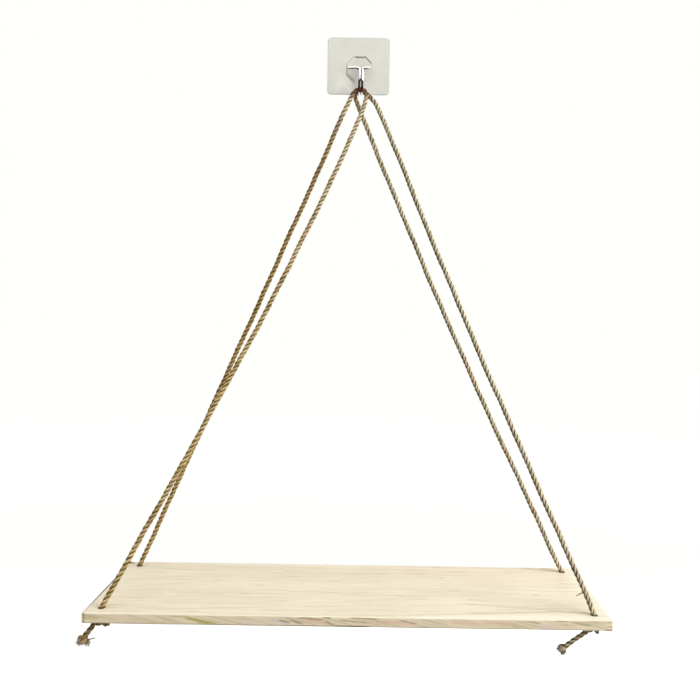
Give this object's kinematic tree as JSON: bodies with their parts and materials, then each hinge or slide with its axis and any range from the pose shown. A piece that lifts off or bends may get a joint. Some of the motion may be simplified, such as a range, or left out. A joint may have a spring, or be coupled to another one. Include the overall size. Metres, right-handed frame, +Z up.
{
  "type": "hanging rope shelf",
  "caption": "Small wooden board hung by crossed ropes from a wire hook on a stick-on wall plate, with stopper knots under its corners.",
  "frame": {"origin": "middle of the adhesive pad's sticky rear face, which lies on the wall", "axes": "+Z up, +Y into the wall, +X to the right as seen from the front; the whole shelf lies at Y of 0 or less"},
  "size_m": [0.4227, 0.13, 0.536],
  "materials": {
    "board": "pale sanded softwood, thin clear coat, fine grain along the length",
    "rope": "three-strand twisted jute, hairy, cream strands with brown grooves",
    "pad": "milky soft adhesive sheet",
    "plate": "clear glossy sheet over the milky pad",
    "housing": "clear moulded plastic, glossy, softly bevelled",
    "steel": "bright polished steel wire"
  },
  "bodies": {
    "wall_mount": {"adhesive_pad": "pad", "base_plate": "plate", "hook_housing": "housing"},
    "hook": {"wire_hook": "steel"},
    "shelf": {"shelf_board": "board", "left_rope": "rope", "right_rope": "rope", "knot_front_left": "rope", "knot_front_right": "rope", "knot_rear_left": "rope", "knot_rear_right": "rope"}
  },
  "joints": [
    {"name": "hook_tilt", "type": "hinge", "parent": "wall_mount", "child": "hook", "pos_m": [0.0025, -0.0056, -0.0033], "axis": [-1, 0, 0], "range_deg": [0, 60]},
    {"name": "shelf_swing", "type": "hinge", "parent": "hook", "child": "shelf", "pos_m": [0.0025, -0.0128, -0.0314], "axis": [0, 1, 0], "range_deg": [-15, 15]}
  ]
}
